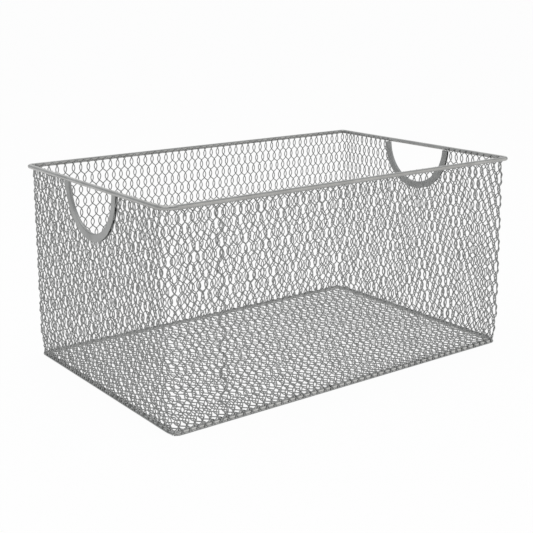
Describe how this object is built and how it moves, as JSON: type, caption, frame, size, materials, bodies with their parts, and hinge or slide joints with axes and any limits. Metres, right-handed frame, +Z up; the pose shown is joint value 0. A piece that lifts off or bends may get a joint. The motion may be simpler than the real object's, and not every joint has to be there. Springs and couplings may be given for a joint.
{
  "type": "wire mesh storage basket",
  "caption": "Open rectangular storage basket of hexagonal wire netting on a round-wire rim and base ring, with a half-oval hand hole in each end wall.",
  "frame": {"origin": "on the ground under the middle of the basket", "axes": "+X along the basket's long side, +Y along its short side, +Z up; the end walls with the hand holes face -X and +X"},
  "size_m": [0.406, 0.2566, 0.1963],
  "materials": {
    "frame_wire": "satin silver-grey coating",
    "netting": "satin silver-grey coating",
    "trim": "satin silver-grey coating"
  },
  "bodies": {
    "root": {"rim_wire": "frame_wire", "base_ring": "frame_wire", "front_net": "netting", "rear_net": "netting", "left_end_net": "netting", "right_end_net": "netting", "floor_net": "netting", "left_handle_trim": "trim", "right_handle_trim": "trim"}
  },
  "joints": []
}
